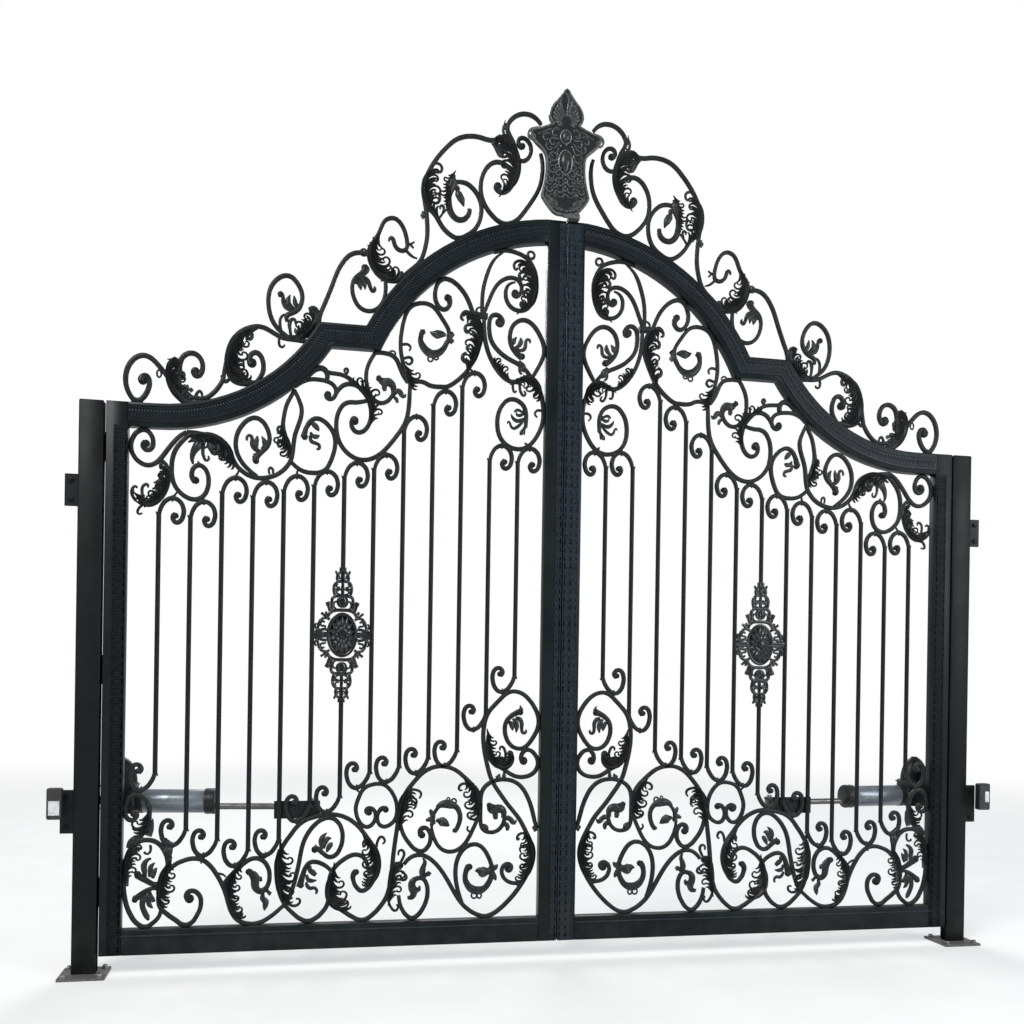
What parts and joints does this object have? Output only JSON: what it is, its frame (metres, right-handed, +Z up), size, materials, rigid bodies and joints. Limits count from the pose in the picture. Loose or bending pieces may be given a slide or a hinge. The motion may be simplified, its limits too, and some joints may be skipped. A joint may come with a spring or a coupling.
{
  "type": "wrought iron double driveway gate",
  "caption": "Pair of swing gate leaves with arched top rails, upright bars, scrollwork and cast leaves, hung on posts and driven by linear operators.",
  "frame": {"origin": "middle of the underside of the left post's base plate, seen from the street", "axes": "+X along the closed gate to the right post, +Y from the street into the yard, +Z up"},
  "size_m": [3.964, 0.3081, 3.618],
  "materials": {
    "ironwork": "satin black paint",
    "castings": "satin black paint on rough castings",
    "operator_tube": "satin grey",
    "operator_case": "matte black",
    "rod": "brushed steel",
    "sensor_case": "black with a pale lens"
  },
  "bodies": {
    "posts": {"left_post": "ironwork", "left_base_plate": "ironwork", "left_wall_plates": "ironwork", "left_photocell": "sensor_case", "left_post_hinges": "ironwork", "left_operator_bracket": "ironwork", "right_post": "ironwork", "right_base_plate": "ironwork", "right_wall_plates": "ironwork", "right_photocell": "sensor_case", "right_post_hinges": "ironwork", "right_operator_bracket": "ironwork"},
    "left_leaf": {"left_hinge_stile": "ironwork", "left_meeting_stile": "ironwork", "left_top_rail": "ironwork", "left_bottom_rail": "ironwork", "left_embossed_bands": "ironwork", "left_leaf_hinges": "ironwork", "left_bars": "ironwork", "left_rosette": "castings", "left_lower_scrolls": "ironwork", "left_upper_scrolls": "ironwork", "left_crest_scrolls": "ironwork", "left_acanthus_leaves": "castings", "left_leaf_bracket": "ironwork"},
    "right_leaf": {"right_hinge_stile": "ironwork", "right_meeting_stile": "ironwork", "right_top_rail": "ironwork", "right_bottom_rail": "ironwork", "right_embossed_bands": "ironwork", "right_leaf_hinges": "ironwork", "right_bars": "ironwork", "right_rosette": "castings", "right_lower_scrolls": "ironwork", "right_upper_scrolls": "ironwork", "right_crest_scrolls": "ironwork", "right_acanthus_leaves": "castings", "right_leaf_bracket": "ironwork", "finial": "castings"},
    "left_ram": {"left_operator_housing": "operator_case", "left_operator_tube": "operator_tube"},
    "right_ram": {"right_operator_housing": "operator_case", "right_operator_tube": "operator_tube"},
    "left_rod": {"left_operator_rod": "rod"},
    "right_rod": {"right_operator_rod": "rod"}
  },
  "joints": [
    {"name": "left_leaf_swing", "type": "hinge", "parent": "posts", "child": "left_leaf", "pos_m": [0.049, 0.039, 0.075], "axis": [0, 0, 1], "range_deg": [0, 90]},
    {"name": "left_ram_swing", "type": "hinge", "parent": "posts", "child": "left_ram", "pos_m": [-0.016, 0.179, 0.65], "axis": [0, 0, 1], "range_deg": [0, 95.1]},
    {"name": "left_rod_slide", "type": "slide", "parent": "left_ram", "child": "left_rod", "axis": [0.9967, -0.0807, 0], "range_m": [-0.208, 0]},
    {"name": "right_leaf_swing", "type": "hinge", "parent": "posts", "child": "right_leaf", "pos_m": [3.655, 0.039, 0.075], "axis": [0, 0, -1], "range_deg": [0, 90]},
    {"name": "right_ram_swing", "type": "hinge", "parent": "posts", "child": "right_ram", "pos_m": [3.72, 0.179, 0.65], "axis": [0, 0, -1], "range_deg": [0, 95.1]},
    {"name": "right_rod_slide", "type": "slide", "parent": "right_ram", "child": "right_rod", "axis": [-0.9967, -0.0807, 0], "range_m": [-0.208, 0]}
  ],
  "couplings": [
    {"joint": "left_ram_swing", "follows": "left_leaf_swing", "ratio": 1.0562},
    {"joint": "left_rod_slide", "follows": "left_leaf_swing", "m_per_rad": -0.1323},
    {"joint": "right_ram_swing", "follows": "right_leaf_swing", "ratio": 1.0562},
    {"joint": "right_rod_slide", "follows": "right_leaf_swing", "m_per_rad": -0.1323}
  ]
}
